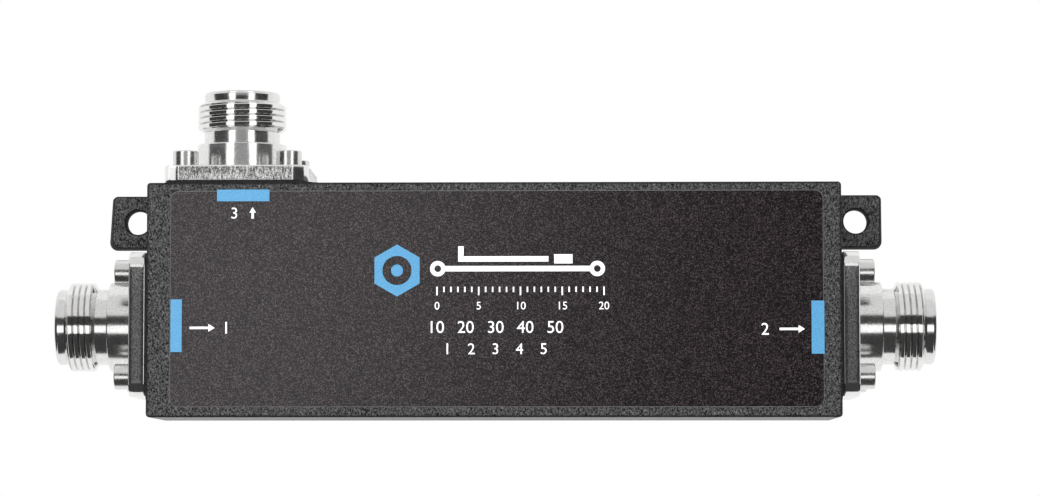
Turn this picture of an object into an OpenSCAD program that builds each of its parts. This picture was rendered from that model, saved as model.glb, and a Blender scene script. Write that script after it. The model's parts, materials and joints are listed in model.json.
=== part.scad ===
// Three-port coaxial tapper in a die-cast box.
// Millimetres. The box lies on its back: X runs from the input port to the
// output port, Y towards the tap port, Z out of the labelled face. The origin
// is the centre of the rear mounting plane.

/* [Housing] */
// Length of the box between its end faces
housing_w = 121.4; // [118:0.1:130]
// Height of the box
housing_h = 41.1; // [40.5:0.1:44]
// Depth of the box, rear plane to labelled face
housing_d = 26; // [25.6:0.1:30]
// Thickness of the labelled wall
front_wall = 3; // [2:0.1:4]
// Thickness of the walls that carry the connectors
port_wall = 7; // [6.2:0.1:8]
// Thickness of the plain long wall
plain_wall = 6.35; // [6:0.05:6.6]
// Radius of the four corners in plan
corner_r = 0.7; // [0.4:0.1:1.5]
// Radius of the edges round the labelled face
edge_r = 0.4; // [0.2:0.1:0.8]
// Height of the cast pads that the flanges sit on
pad_h = 0.3; // [0.2:0.05:0.6]

/* [Mounting ears] */
// Thickness of the ears
ear_t = 3.5; // [2.5:0.1:5]
// Height of the ears along Y
ear_h = 9.5; // [8:0.1:11]
// Centre of the ears and their holes along Y
ear_y = 15.3; // [14:0.1:15.5]
// How far each ear stands out of the box at its top face
ear_reach = 8.75; // [8:0.05:10]
// Diameter of the two mounting holes
ear_hole_d = 4.4; // [3.4:0.1:4.8]
// Distance between the two mounting holes
ear_hole_pitch = 130; // [129.4:0.1:130.6]

/* [Ports] */
// Height of the input and output axis along Y
line_y = -4.2; // [-4.8:0.1:-3.6]
// Place of the tap axis along X
tap_x = -45.2; // [-46:0.1:-44]
// Height of all three port axes above the rear plane
axis_z = 13; // [12.8:0.1:13.2]
// Side of the square flange
flange_w = 25.4; // [25:0.1:25.4]
// Thickness of the flange
flange_t = 2.9; // [2.4:0.1:3.2]
// Corner radius of the flange
flange_r = 2.8; // [2:0.1:4.5]
// Distance between flange screws along one side
screw_pitch = 18.26; // [18:0.01:18.4]
// Major diameter of the coupling thread
thread_d = 15.85; // [15.5:0.01:16]
// Length of the coupling thread with its two chamfers
thread_l = 5.5; // [5:0.1:6.5]
// Length of the lead chamfer at the front of the thread
thread_lead = 0.8; // [0.5:0.1:1]
// Length of the chamfer at the back of the thread
thread_relief = 0.7; // [0.4:0.1:1]
// Diameter of the plain body behind the thread
body_d = 15.9; // [15.5:0.1:16.5]
// Length of the plain body
body_l = 4.55; // [4:0.05:5.5]
// Diameter of the undercut behind the thread and of the nose before it
neck_d = 13.5; // [13:0.05:14]
// Length of the undercut
neck_l = 2.15; // [1.6:0.05:2.6]
// Length of the nose in front of the thread
nose_l = 1.7; // [1.5:0.1:2.2]
// Diameter of the socket mouth
mouth_d = 8.1; // [8:0.05:8.3]
// Depth of the socket mouth
mouth_l = 9.1; // [8.6:0.1:9.6]

/* [Centre contacts] */
// Outside diameter of the socket contact
contact_d = 3.04; // [2.9:0.02:3.1]
// Bore of the socket contact
contact_bore_d = 1.65; // [1.6:0.01:1.7]
// How far the contact tip lies behind the end of the nose
contact_recess = 4.5; // [4.3:0.1:4.8]

/* [Screws] */
// Diameter of the flange screw heads
head_d = 4.5; // [4.2:0.1:4.6]
// Height of the flange screw heads
head_h = 2.7; // [2.2:0.1:3]
// Length of the flange screws under the head
flange_screw_l = 8; // [7:0.5:8.5]
// Length of the rear cover screws
cover_screw_l = 6; // [5:0.5:6]

/* [Rear cover] */
// Thickness of the rear cover
cover_t = 1.5; // [1.3:0.1:1.6]
// Thickness of the seal under the rear cover
seal_t = 0.4; // [0.3:0.05:0.5]
// Width of the rim left round the rear cover
rim = 1.6; // [1.3:0.1:1.7]

/* [Label] */
// Length of the label
label_w = 114.1; // [110:0.1:114.5]
// Height of the label
label_h = 37.85; // [36:0.05:38.2]
// Thickness of the label
label_t = 0.15; // [0.1:0.05:0.3]
// Offset of the label along X
label_x = 0.5; // [0:0.1:0.5]
// Offset of the label along Y
label_y = 0.15; // [-0.2:0.05:0.2]

/* [Inner line] */
// Diameter of the first length of the centre bar
bar_d1 = 6; // [5.6:0.1:6.4]
// Diameter of the second length of the centre bar
bar_d2 = 4.8; // [4.4:0.1:5.4]
// Where the bar changes its diameter along X
bar_step_x = 10; // [5:1:15]
// Width of the plastic posts that hold the bar
post_w = 5; // [4:0.5:6]

/* [Hidden] */
$fn = 96;

recess_d = cover_t + seal_t;
half_w = housing_w / 2;
half_h = housing_h / 2;
top_z = housing_d - front_wall;
cav_x = half_w - port_wall;
cav_y1 = half_h - port_wall;
cav_y0 = -half_h + plain_wall;
cav_r = 3;
cover_w = housing_w - 2 * rim - 0.2;
cover_h = housing_h - 2 * rim - 0.2;
thread_r = 1.25;
// Cover screws: two rows of three on the long ledges, one at each end
cover_row_top = half_h - rim - 2.65;
cover_row_low = -half_h + rim + 2.45;
cover_points = [
    [tap_x, cover_row_top], [0, cover_row_top], [52, cover_row_top],
    [-52, cover_row_low], [0, cover_row_low], [52, cover_row_low],
    [-half_w + 4.3, line_y], [half_w - 4.3, line_y]];
// Stations along a port's axis, from the plain side of the box outwards
z_seat = pad_h;
z_face = z_seat + flange_t;
z_body = z_face + body_l;
z_neck = z_body + neck_l;
z_thread = z_neck + thread_l;
z_tip = z_thread + nose_l;
z_stop = z_tip - mouth_l;
z_contact = z_tip - contact_recess;
spigot_r = 5;
spigot_z = z_seat - 2;
insul_z = -5;
contact_back = -11;
cup_r = 1.05;
pin_depth = 5;

// ---- shared shapes -------------------------------------------------------

// Rectangle with rounded corners, centred
module round_rect(w, h, r) {
    square([w - 2 * r, h], center = true);
    square([w, h - 2 * r], center = true);
    for (x = [-1, 1], y = [-1, 1])
        translate([x * (w / 2 - r), y * (h / 2 - r)]) circle(r);
}

// Side view of a block whose two front edges are rounded
module front_section(w, d, r) {
    translate([-w / 2, 0]) square([w, d - r]);
    translate([-w / 2 + r, 0]) square([w - 2 * r, d]);
    for (x = [-1, 1]) translate([x * (w / 2 - r), d - r]) circle(r);
}

// Trims a block of any outline to rounded front edges at width w and height h
module front_edges(w, h, d, r) {
    intersection() {
        children();
        rotate([90, 0, 0])
            linear_extrude(200, center = true) front_section(w, d, r);
        rotate([90, 0, 90])
            linear_extrude(300, center = true) front_section(h, d, r);
    }
}

// Outline of a flange pad seen along Z: flat from -fa to fb, with a soft
// run-out of length a on one side and b on the other
function ease(t) = (1 - cos(180 * t)) / 2;
module pad_outline(fa, a, fb, b) {
    n = 8;
    polygon(concat(
        [[-fa - a, -2]],
        [for (i = [0:n]) [-fa - a + a * i / n, pad_h * ease(i / n)]],
        [for (i = [0:n]) [fb + b * i / n, pad_h * (1 - ease(i / n))]],
        [[fb + b, -2]]));
}

// Moves a part drawn along +Z, from the plain side of the box outwards, to a port
module at_input() {
    translate([-half_w, line_y, axis_z]) rotate([0, -90, 0]) children();
}
module at_output() {
    translate([half_w, line_y, axis_z]) rotate([0, 90, 0]) children();
}
module at_tap() {
    translate([tap_x, half_h, axis_z]) rotate([-90, 0, 0]) children();
}
module at_ports() {
    at_input() children();
    at_output() children();
    at_tap() children();
}
module at_screws() {
    for (x = [-1, 1], y = [-1, 1])
        translate([x * screw_pitch / 2, y * screw_pitch / 2, 0]) children();
}

// ---- housing -------------------------------------------------------------

// Thin slice of an ear at height z. The outer end lies low or high beyond the
// box at the two corners, and the long sides stand out by grow
module ear_slice(z, low, high, grow) {
    y0 = ear_y - ear_h / 2 - grow;
    y1 = ear_y + ear_h / 2 + grow;
    translate([0, 0, z]) {
        translate([half_w - 3, y0, 0]) cube([1, y1 - y0, 0.01]);
        translate([half_w + low - 1.5, y0 + 1.5, 0]) cylinder(r = 1.5, h = 0.01, $fn = 32);
        translate([half_w + high - 0.75, y1 - 0.75, 0]) cylinder(r = 0.75, h = 0.01, $fn = 32);
    }
}

// Cast ear: drafted sides, eased top edges, and an outer end that leans in by
// lean from the base up and is askew by skew in plan
module ear(lean, skew) {
    e = 0.25;
    hull() {
        ear_slice(0, ear_reach + lean + skew, ear_reach + lean, 0.15);
        ear_slice(ear_t - e, ear_reach + skew / 2, ear_reach, 0);
        ear_slice(ear_t - 0.01, ear_reach + skew / 2 - e, ear_reach - e, -e);
    }
}

module housing() {
    color([0.13, 0.13, 0.14]) difference() {
        union() {
            front_edges(housing_w, housing_h, housing_d, edge_r)
                linear_extrude(housing_d) round_rect(housing_w, housing_h, corner_r);
            // cast pads under the three flanges
            front_edges(housing_w + 2 * pad_h, housing_h + 2 * pad_h, housing_d, edge_r)
                linear_extrude(housing_d) {
                    translate([-half_w, line_y]) rotate(90) pad_outline(11, 2.2, 9.4, 3);
                    translate([half_w, line_y]) rotate(-90) pad_outline(9.4, 3.6, 11, 2.2);
                    translate([tap_x, half_h]) pad_outline(10.9, 1.6, 11, 3.5);
                }
            ear(0.45, 0.05);
            mirror([1, 0, 0]) ear(0.6, 0.45);
        }
        // cavity, open to the rear
        translate([0, (cav_y0 + cav_y1) / 2, -1])
            linear_extrude(top_z + 1) round_rect(2 * cav_x, cav_y1 - cav_y0, cav_r);
        // recess for the seal and the cover
        translate([0, 0, -1])
            linear_extrude(recess_d + 1)
                round_rect(housing_w - 2 * rim, housing_h - 2 * rim, 2);
        // tapped holes of the cover
        for (p = cover_points) translate([p[0], p[1], 0])
            cylinder(r = thread_r, h = cover_screw_l + 0.4);
        // stepped port bores and tapped flange holes
        at_ports() {
            translate([0, 0, insul_z]) cylinder(r = spigot_r + 0.05, h = 8);
            translate([0, 0, -port_wall - 1]) cylinder(r = 4.4, h = 6);
            at_screws() translate([0, 0, z_face - flange_screw_l - 0.4])
                cylinder(r = thread_r, h = 10);
        }
        // mounting holes, eased at the top face
        for (s = [-1, 1]) translate([s * ear_hole_pitch / 2, ear_y, 0]) {
            translate([0, 0, -1]) cylinder(d = ear_hole_d, h = ear_t + 2);
            translate([0, 0, ear_t - 0.25])
                cylinder(d1 = ear_hole_d, d2 = ear_hole_d + 1, h = 0.5);
        }
    }
}

// ---- rear cover ----------------------------------------------------------

module rear_cover() {
    color([0.72, 0.73, 0.75]) difference() {
        linear_extrude(cover_t) round_rect(cover_w, cover_h, 1.9);
        for (p = cover_points) translate([p[0], p[1], 0]) {
            translate([0, 0, -1]) cylinder(r = thread_r + 0.1, h = cover_t + 2);
            translate([0, 0, -0.01])
                cylinder(r1 = 2.41, r2 = 1.25, h = 1.16);
        }
    }
}

module rear_cover_seal() {
    color([0.1, 0.1, 0.1]) translate([0, 0, cover_t]) linear_extrude(seal_t)
        difference() {
            round_rect(cover_w, cover_h, 1.9);
            translate([0, (cav_y0 + cav_y1) / 2])
                round_rect(2 * cav_x, cav_y1 - cav_y0, cav_r);
            for (p = cover_points) translate([p[0], p[1]]) circle(thread_r + 0.15);
        }
}

// Countersunk screw, head down, drive recess in its head
module cover_screw() {
    difference() {
        union() {
            translate([0, 0, 0.05]) cylinder(r1 = 2.3, r2 = 1.2, h = 1.1);
            translate([0, 0, 0.05]) cylinder(r = 1.2, h = cover_screw_l - 0.05);
        }
        translate([0, 0, -1]) cylinder(r = 0.87, h = 1.9, $fn = 6);
    }
}
module rear_cover_screws() {
    color([0.6, 0.6, 0.62]) for (p = cover_points)
        translate([p[0], p[1], 0]) cover_screw();
}

// ---- label ---------------------------------------------------------------

module label() {
    color([0.2, 0.18, 0.185]) translate([label_x, label_y, housing_d])
        linear_extrude(label_t) round_rect(label_w, label_h, 1.5);
}

// ---- connectors ----------------------------------------------------------

// Turned jack body: square flange, spigot behind it, body, undercut, thread
// drawn as its major cylinder, nose, and the stepped bore
module jack() {
    c = 0.3;
    color([0.86, 0.86, 0.85]) difference() {
        union() {
            translate([0, 0, z_seat]) linear_extrude(flange_t)
                round_rect(flange_w, flange_w, flange_r);
            rotate_extrude() polygon([
                [0, spigot_z], [spigot_r - 0.2, spigot_z], [spigot_r, spigot_z + 0.2],
                [spigot_r, z_face],
                [body_d / 2, z_face], [body_d / 2, z_body - c],
                [body_d / 2 - c, z_body], [neck_d / 2, z_body],
                [neck_d / 2, z_neck], [thread_d / 2, z_neck + thread_relief],
                [thread_d / 2, z_thread - thread_lead], [neck_d / 2, z_thread],
                [neck_d / 2, z_tip - c], [neck_d / 2 - c, z_tip], [0, z_tip]]);
        }
        // socket mouth with a lead-in, stop shoulder and dielectric bore
        rotate_extrude() polygon([
            [0, spigot_z - 1], [3.5, spigot_z - 1], [3.5, z_stop],
            [mouth_d / 2, z_stop], [mouth_d / 2, z_tip - 0.4],
            [mouth_d / 2 + 0.45, z_tip + 0.05], [0, z_tip + 0.05]]);
        // groove for the O-ring in the seat face
        translate([0, 0, z_seat - 0.5]) difference() {
            cylinder(r = 7.3, h = 1.35);
            translate([0, 0, -1]) cylinder(r = 6, h = 4);
        }
        at_screws() translate([0, 0, z_seat - 1]) cylinder(d = 2.8, h = flange_t + 2);
    }
}

// Pressed plastic bead behind and inside the jack
module insulator() {
    color([0.95, 0.95, 0.93]) difference() {
        rotate_extrude() polygon([
            [0, insul_z], [4.95, insul_z], [4.95, spigot_z], [3.48, spigot_z],
            [3.48, z_stop], [0, z_stop]]);
        translate([0, 0, insul_z - 1])
            cylinder(r = contact_d / 2 + 0.02, h = z_stop - insul_z + 2);
        translate([0, 0, 1]) cylinder(r = 2, h = 1.2);
    }
}

// Slotted socket contact with a holding ring and a solder cup at the back
module contact() {
    r = contact_d / 2;
    color([0.83, 0.66, 0.3]) difference() {
        rotate_extrude() polygon([
            [0, contact_back], [r, contact_back], [r, 1.05], [1.95, 1.05],
            [1.95, 2.15], [r, 2.15], [r, z_contact - 0.25],
            [r - 0.25, z_contact], [0, z_contact]]);
        translate([0, 0, z_contact - pin_depth])
            cylinder(d = contact_bore_d, h = pin_depth + 1);
        translate([0, 0, contact_back - 1]) cylinder(r = cup_r, h = 4);
        for (a = [45, 135]) rotate(a)
            translate([-3, -0.125, z_contact - pin_depth]) cube([6, 0.25, pin_depth + 1]);
    }
}

// Seal in the groove, pressed to the groove's depth
module o_ring() {
    color([0.08, 0.08, 0.08]) translate([0, 0, z_seat]) rotate_extrude()
        translate([6.65, 0.425]) round_rect(1.2, 0.85, 0.4);
}

module input_connector() { at_input() jack(); }
module input_insulator() { at_input() insulator(); }
module input_contact() { at_input() contact(); }
module input_o_ring() { at_input() o_ring(); }
module output_connector() { at_output() jack(); }
module output_insulator() { at_output() insulator(); }
module output_contact() { at_output() contact(); }
module output_o_ring() { at_output() o_ring(); }
module tap_connector() { at_tap() jack(); }
module tap_insulator() { at_tap() insulator(); }
module tap_contact() { at_tap() contact(); }
module tap_o_ring() { at_tap() o_ring(); }

// Socket-head cap screw standing on the flange
module cap_screw() {
    translate([0, 0, z_face]) difference() {
        rotate_extrude() polygon([
            [0, -flange_screw_l], [0.95, -flange_screw_l], [1.2, -flange_screw_l + 0.4],
            [1.2, 0], [head_d / 2, 0], [head_d / 2, head_h - 0.25],
            [head_d / 2 - 0.25, head_h], [0, head_h]]);
        translate([0, 0, head_h - 1.2]) cylinder(r = 1.155, h = 2, $fn = 6);
    }
}
module flange_screws() {
    color([0.8, 0.8, 0.8]) at_ports() at_screws() cap_screw();
}

// ---- inner line ----------------------------------------------------------

// Turned centre bar from contact to contact, with a cross hole for the tap
module main_line() {
    e = half_w + contact_back;
    color([0.85, 0.85, 0.87]) translate([0, line_y, axis_z]) difference() {
        rotate([0, 90, 0]) rotate_extrude() polygon([
            [0, -e - 2.7], [1, -e - 2.7], [1, -e], [contact_d / 2, -e],
            [contact_d / 2, -e + 2], [bar_d1 / 2, -e + 2],
            [bar_d1 / 2, bar_step_x], [bar_d2 / 2, bar_step_x],
            [bar_d2 / 2, e - 2], [contact_d / 2, e - 2], [contact_d / 2, e],
            [1, e], [1, e + 2.7], [0, e + 2.7]]);
        translate([tap_x, 0, 0]) rotate([-90, 0, 0]) cylinder(r = 0.45, h = 10);
    }
}

// Plastic post between the labelled wall and the rear cover, bored for the bar
module post(x, d) {
    color([0.95, 0.95, 0.93]) translate([x, line_y, cover_t]) difference() {
        translate([-post_w / 2, -5.5, 0]) cube([post_w, 11, top_z - cover_t]);
        translate([0, 0, axis_z - cover_t]) rotate([0, 90, 0])
            cylinder(d = d + 0.04, h = 20, center = true);
    }
}
module line_post_a() { post(-25, bar_d1); }
module line_post_b() { post(28, bar_d2); }

// Branch of the tap: film resistor standing on the bar, and a sleeve that
// joins its upper lead to the tap contact
tap_back = half_h + contact_back;
module branch() {
    translate([tap_x, 0, axis_z]) rotate([-90, 0, 0]) children();
}
module tap_resistor() {
    color([0.45, 0.3, 0.2]) branch() rotate_extrude() polygon([
        [0, line_y + 0.2], [0.4, line_y + 0.2], [0.4, tap_back - 8.3],
        [1.5, tap_back - 8.3], [1.8, tap_back - 8], [1.8, tap_back - 7],
        [1.55, tap_back - 6.8], [1.55, tap_back - 4.7], [1.8, tap_back - 4.5],
        [1.8, tap_back - 3.5], [1.5, tap_back - 3.2], [0.4, tap_back - 3.2],
        [0.4, tap_back + 1.4], [0, tap_back + 1.4]]);
}
module tap_sleeve() {
    color([0.8, 0.68, 0.4]) branch() difference() {
        rotate_extrude() polygon([
            [0, tap_back - 2.4], [1.7, tap_back - 2.4], [1.7, tap_back],
            [1, tap_back], [1, tap_back + 2.7], [0, tap_back + 2.7]]);
        translate([0, 0, tap_back - 3]) cylinder(r = 0.42, h = 4.6);
    }
}

housing();
rear_cover();
rear_cover_seal();
rear_cover_screws();
label();
input_connector();
input_insulator();
input_contact();
input_o_ring();
output_connector();
output_insulator();
output_contact();
output_o_ring();
tap_connector();
tap_insulator();
tap_contact();
tap_o_ring();
flange_screws();
main_line();
line_post_a();
line_post_b();
tap_resistor();
tap_sleeve();
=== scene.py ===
import json
import math

import bmesh
import bpy
from mathutils import Matrix, Vector
from mathutils.geometry import tessellate_polygon

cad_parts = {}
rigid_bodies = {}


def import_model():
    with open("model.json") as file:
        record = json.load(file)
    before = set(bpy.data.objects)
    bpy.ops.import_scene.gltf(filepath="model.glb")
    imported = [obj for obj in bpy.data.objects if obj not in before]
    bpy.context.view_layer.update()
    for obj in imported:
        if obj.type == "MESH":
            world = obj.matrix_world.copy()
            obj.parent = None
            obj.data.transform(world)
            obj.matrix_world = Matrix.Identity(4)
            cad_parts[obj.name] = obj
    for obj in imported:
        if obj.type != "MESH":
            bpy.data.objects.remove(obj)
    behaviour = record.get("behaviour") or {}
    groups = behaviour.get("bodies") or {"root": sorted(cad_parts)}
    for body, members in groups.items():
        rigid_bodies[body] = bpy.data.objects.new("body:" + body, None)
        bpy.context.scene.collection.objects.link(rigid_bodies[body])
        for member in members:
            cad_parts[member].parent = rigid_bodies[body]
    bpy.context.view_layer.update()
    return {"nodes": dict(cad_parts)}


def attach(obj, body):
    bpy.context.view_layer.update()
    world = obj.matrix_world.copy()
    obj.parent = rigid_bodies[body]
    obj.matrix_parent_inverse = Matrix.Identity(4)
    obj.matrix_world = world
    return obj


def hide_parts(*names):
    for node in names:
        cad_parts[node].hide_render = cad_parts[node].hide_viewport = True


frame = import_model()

MM = 0.001
scene = bpy.context.scene
TAU = 2 * math.pi

# ---------------------------------------------------------------- sizes (mm)
HALF_W, HALF_H, DEPTH = 60.7, 20.55, 26.0
LINE_Y, TAP_X, AXIS_Z = -4.2, -45.2, 13.0
Z_SEAT, Z_FACE, Z_BODY, Z_NECK, Z_THREAD, Z_TIP = 0.3, 3.2, 7.75, 9.9, 15.4, 17.1
Z_STOP, Z_CONTACT = Z_TIP - 9.1, Z_TIP - 4.5
FLANGE_W, FLANGE_R = 25.4, 2.8
THREAD_R, BODY_R, NECK_R = 7.925, 7.95, 6.75
PITCH = 25.4 / 24
SCREW_PITCH = 18.26
LABEL_X, LABEL_Y, LABEL_W, LABEL_H, LABEL_R = 0.5, 0.15, 114.1, 37.85, 1.5

PORTS = {
    "input": Matrix.Translation((-HALF_W, LINE_Y, AXIS_Z)) @ Matrix.Rotation(-math.pi / 2, 4, "Y"),
    "output": Matrix.Translation((HALF_W, LINE_Y, AXIS_Z)) @ Matrix.Rotation(math.pi / 2, 4, "Y"),
    "tap": Matrix.Translation((TAP_X, HALF_H, AXIS_Z)) @ Matrix.Rotation(-math.pi / 2, 4, "X"),
}


# -------------------------------------------------------------------- camera
def make_camera():
    f, cx, cy = 3507.98, 470.0, 248.0
    yaw, pitch, roll = (math.radians(a) for a in (-1.619, -4.069, -0.019))
    turn = (Matrix.Rotation(roll, 3, "Z") @ Matrix.Rotation(pitch, 3, "X")
            @ Matrix.Rotation(yaw, 3, "Y"))
    back = turn.transposed()
    place = back @ Vector((-4.7718, 10.7951, 637.737)) * MM
    data = bpy.data.cameras.new("camera")
    data.sensor_fit = "HORIZONTAL"
    data.sensor_width = 36.0
    data.lens = 36.0 * f / 1040.0
    data.shift_x = (520.0 - cx) / 1040.0
    data.shift_y = (cy - 248.0) / 1040.0
    data.clip_start, data.clip_end = 0.01, 10.0
    cam = bpy.data.objects.new("camera", data)
    cam.matrix_world = Matrix.Translation(place) @ back.to_4x4()
    scene.collection.objects.link(cam)
    scene.camera = cam


make_camera()


# ------------------------------------------------------------- node helpers
class Nodes:
    """Short calls for building a node tree."""

    def __init__(self, tree):
        self.tree = tree
        tree.nodes.clear()

    def add(self, kind, **values):
        n = self.tree.nodes.new(kind)
        for key, value in values.items():
            setattr(n, key, value)
        return n

    def link(self, a, b):
        self.tree.links.new(a, b)

    def put(self, socket, value):
        if hasattr(value, "is_output") or isinstance(value, bpy.types.NodeSocket):
            self.link(value, socket)
        else:
            socket.default_value = value

    def coords(self):
        return self.add("ShaderNodeTexCoord").outputs["Object"]

    def mapping(self, vector, scale=(1, 1, 1), rotation=(0, 0, 0), location=(0, 0, 0)):
        n = self.add("ShaderNodeMapping")
        self.put(n.inputs["Vector"], vector)
        n.inputs["Scale"].default_value = scale
        n.inputs["Rotation"].default_value = rotation
        n.inputs["Location"].default_value = location
        return n.outputs[0]

    def noise(self, vector, size_mm, detail=2.0, rough=0.5, distortion=0.0):
        n = self.add("ShaderNodeTexNoise")
        self.put(n.inputs["Vector"], vector)
        n.inputs["Scale"].default_value = 1000.0 / size_mm
        n.inputs["Detail"].default_value = detail
        n.inputs["Roughness"].default_value = rough
        n.inputs["Distortion"].default_value = distortion
        return n.outputs["Fac"]

    def voronoi(self, vector, size_mm, feature="F1", randomness=1.0):
        n = self.add("ShaderNodeTexVoronoi", feature=feature)
        self.put(n.inputs["Vector"], vector)
        n.inputs["Scale"].default_value = 1000.0 / size_mm
        n.inputs["Randomness"].default_value = randomness
        return n.outputs["Distance"], n.outputs.get("Color")

    def span(self, value, a, b, c=0.0, d=1.0, smooth=False):
        n = self.add("ShaderNodeMapRange")
        if smooth:
            n.interpolation_type = "SMOOTHSTEP"
        self.put(n.inputs["Value"], value)
        for key, v in zip(("From Min", "From Max", "To Min", "To Max"), (a, b, c, d)):
            n.inputs[key].default_value = v
        return n.outputs["Result"]

    def math(self, operation, a, b=0.0, clamp=False):
        n = self.add("ShaderNodeMath", operation=operation, use_clamp=clamp)
        self.put(n.inputs[0], a)
        self.put(n.inputs[1], b)
        return n.outputs[0]

    def mix(self, fac, a, b):
        n = self.add("ShaderNodeMix", data_type="RGBA")
        self.put(n.inputs["Factor"], fac)
        self.put(n.inputs[6], a)
        self.put(n.inputs[7], b)
        return n.outputs[2]

    def bump(self, height, strength, distance_mm, normal=None):
        n = self.add("ShaderNodeBump")
        n.inputs["Strength"].default_value = strength
        n.inputs["Distance"].default_value = distance_mm * MM
        self.put(n.inputs["Height"], height)
        if normal is not None:
            self.put(n.inputs["Normal"], normal)
        return n.outputs["Normal"]

    def edge(self, lo=0.5, hi=0.6):
        """1 where the surface is convex, as on a worn edge."""
        g = self.add("ShaderNodeNewGeometry")
        return self.span(g.outputs["Pointiness"], lo, hi)


def rgb(r, g, b):
    """sRGB 0..255 to linear RGBA."""
    def lin(v):
        v /= 255.0
        return v / 12.92 if v <= 0.04045 else ((v + 0.055) / 1.055) ** 2.4
    return (lin(r), lin(g), lin(b), 1.0)


def material(name, **values):
    m = bpy.data.materials.new(name)
    m.use_nodes = True
    n = Nodes(m.node_tree)
    out = n.add("ShaderNodeOutputMaterial")
    p = n.add("ShaderNodeBsdfPrincipled")
    n.link(p.outputs[0], out.inputs[0])
    for key, value in values.items():
        p.inputs[key.replace("_", " ")].default_value = value
    return m, n, p


# ---------------------------------------------------------------- materials
def powder_coat():
    """Rough black powder coat: fine bent wrinkles, painted glints as scattered bright specks, painted shade and
    dullness on the edges.
    """
    m, n, p = material("powder_coat")
    c = n.coords()
    warp = n.noise(c, 1.3, 2.0)
    worm = n.noise(n.mapping(c, scale=(1.0, 0.62, 1.0), rotation=(0, 0, 0.6)), 0.28, 1.0, 0.5, 0.5)
    fine = n.noise(c, 0.18, 1.0, 0.5, 0.3)
    grain = n.math("ADD", n.math("MULTIPLY", worm, 0.5), n.math("MULTIPLY", fine, 0.5))
    tone = n.mix(n.span(grain, 0.41, 0.66), (0.009, 0.009, 0.0095, 1), (0.21, 0.21, 0.216, 1))
    # painted glints: bright specks in the base colour stand in for the coat's sparkle highlights
    glint_spot, _ = n.voronoi(c, 0.8)
    painted_glint = n.span(glint_spot, 0.07, 0.2, 1.0, 0.0)
    tone = n.mix(n.math("MULTIPLY", painted_glint, n.span(warp, 0.50, 0.58)), tone, (0.36, 0.36, 0.365, 1))
    # painted shade: the rounded edges, the front face's border, the ears' edges and the walls of the holes get a
    # near-black base colour, and are dull
    sep, at = n.add("ShaderNodeSeparateXYZ"), n.add("ShaderNodeSeparateXYZ")
    n.link(n.add("ShaderNodeTexCoord").outputs["Normal"], sep.inputs[0])
    n.link(c, at.inputs[0])
    wide = n.math("ABSOLUTE", at.outputs[0])
    inset = n.math("MINIMUM", n.math("SUBTRACT", HALF_W * MM, wide),
                   n.math("SUBTRACT", HALF_H * MM, n.math("ABSOLUTE", at.outputs[1])))
    border = n.math("MAXIMUM", n.span(inset, 0.00012, 0.0005), n.span(at.outputs[2], 0.0240, 0.0245, 1.0, 0.0))
    flat = n.math("MINIMUM", n.span(sep.outputs[2], 0.75, 0.99), border)
    # the four walls of the box keep their full tone, free of the painted shade, and the long lower one has a smoother
    # face
    upright = n.math("MAXIMUM", n.span(n.math("ABSOLUTE", sep.outputs[0]), 0.95, 0.99),
                     n.span(n.math("ABSOLUTE", sep.outputs[1]), 0.95, 0.99))
    wall = n.math("MULTIPLY", upright, n.span(wide, 0.06072, 0.06080, 1.0, 0.0))
    under = n.math("MULTIPLY", n.span(sep.outputs[1], -0.95, -0.99), n.span(wide, 0.0598, 0.0602, 1.0, 0.0))
    # the ears' straight edges get less of the painted shade than the walls of their holes
    across, along = n.math("SUBTRACT", wide, 0.065), n.math("SUBTRACT", at.outputs[1], 0.0153)
    reach = n.math("SQRT", n.math("ADD", n.math("MULTIPLY", across, across), n.math("MULTIPLY", along, along)))
    ear = n.math("MULTIPLY", upright, n.span(reach, 0.0023, 0.0026, 0.0, 0.6))
    unshaded = n.math("MAXIMUM", n.math("MAXIMUM", flat, wall), n.math("MAXIMUM", ear, 0.14))
    # near-black painted shade wherever unshaded is low
    n.put(p.inputs["Base Color"], n.mix(unshaded, (0.012, 0.012, 0.0125, 1), tone))
    rough = n.span(grain, 0.3, 0.7, 0.6, 0.46)
    dull = n.math("MULTIPLY", n.span(sep.outputs[2], 0.2, 0.99, 0.85, 0.0), n.math("SUBTRACT", 1.0, wall))
    rough = n.math("MAXIMUM", rough, dull)
    n.put(p.inputs["Roughness"], n.math("MINIMUM", rough, n.span(under, 0.0, 1.0, 1.0, 0.34)))
    p.inputs["Specular IOR Level"].default_value = 0.2
    n.put(p.inputs["Normal"], n.bump(grain, 0.8, 0.05))
    return m


def label_film():
    """Dark printed film with a fine grain and a satin face."""
    m, n, p = material("label_film")
    c = n.coords()
    worm = n.noise(c, 0.25, 1.0, 0.5, 0.3)
    fine = n.noise(c, 0.17, 1.0, 0.5, 0.2)
    cloud = n.noise(c, 14.0, 3.0)
    grain = n.math("ADD", n.math("MULTIPLY", worm, 0.5), n.math("MULTIPLY", fine, 0.5))
    tone = n.mix(n.span(grain, 0.49, 0.65), (0.0008, 0.0002, 0.0004, 1), (0.113, 0.084, 0.093, 1))
    tone = n.mix(n.span(cloud, 0.3, 0.7, 0.0, 0.10), tone, (0.012, 0.009, 0.010, 1))
    n.put(p.inputs["Base Color"], tone)
    n.put(p.inputs["Roughness"], n.span(grain, 0.3, 0.7, 0.46, 0.32))
    p.inputs["Specular IOR Level"].default_value = 0.3
    n.put(p.inputs["Normal"], n.bump(grain, 0.5, 0.03))
    return m


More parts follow.
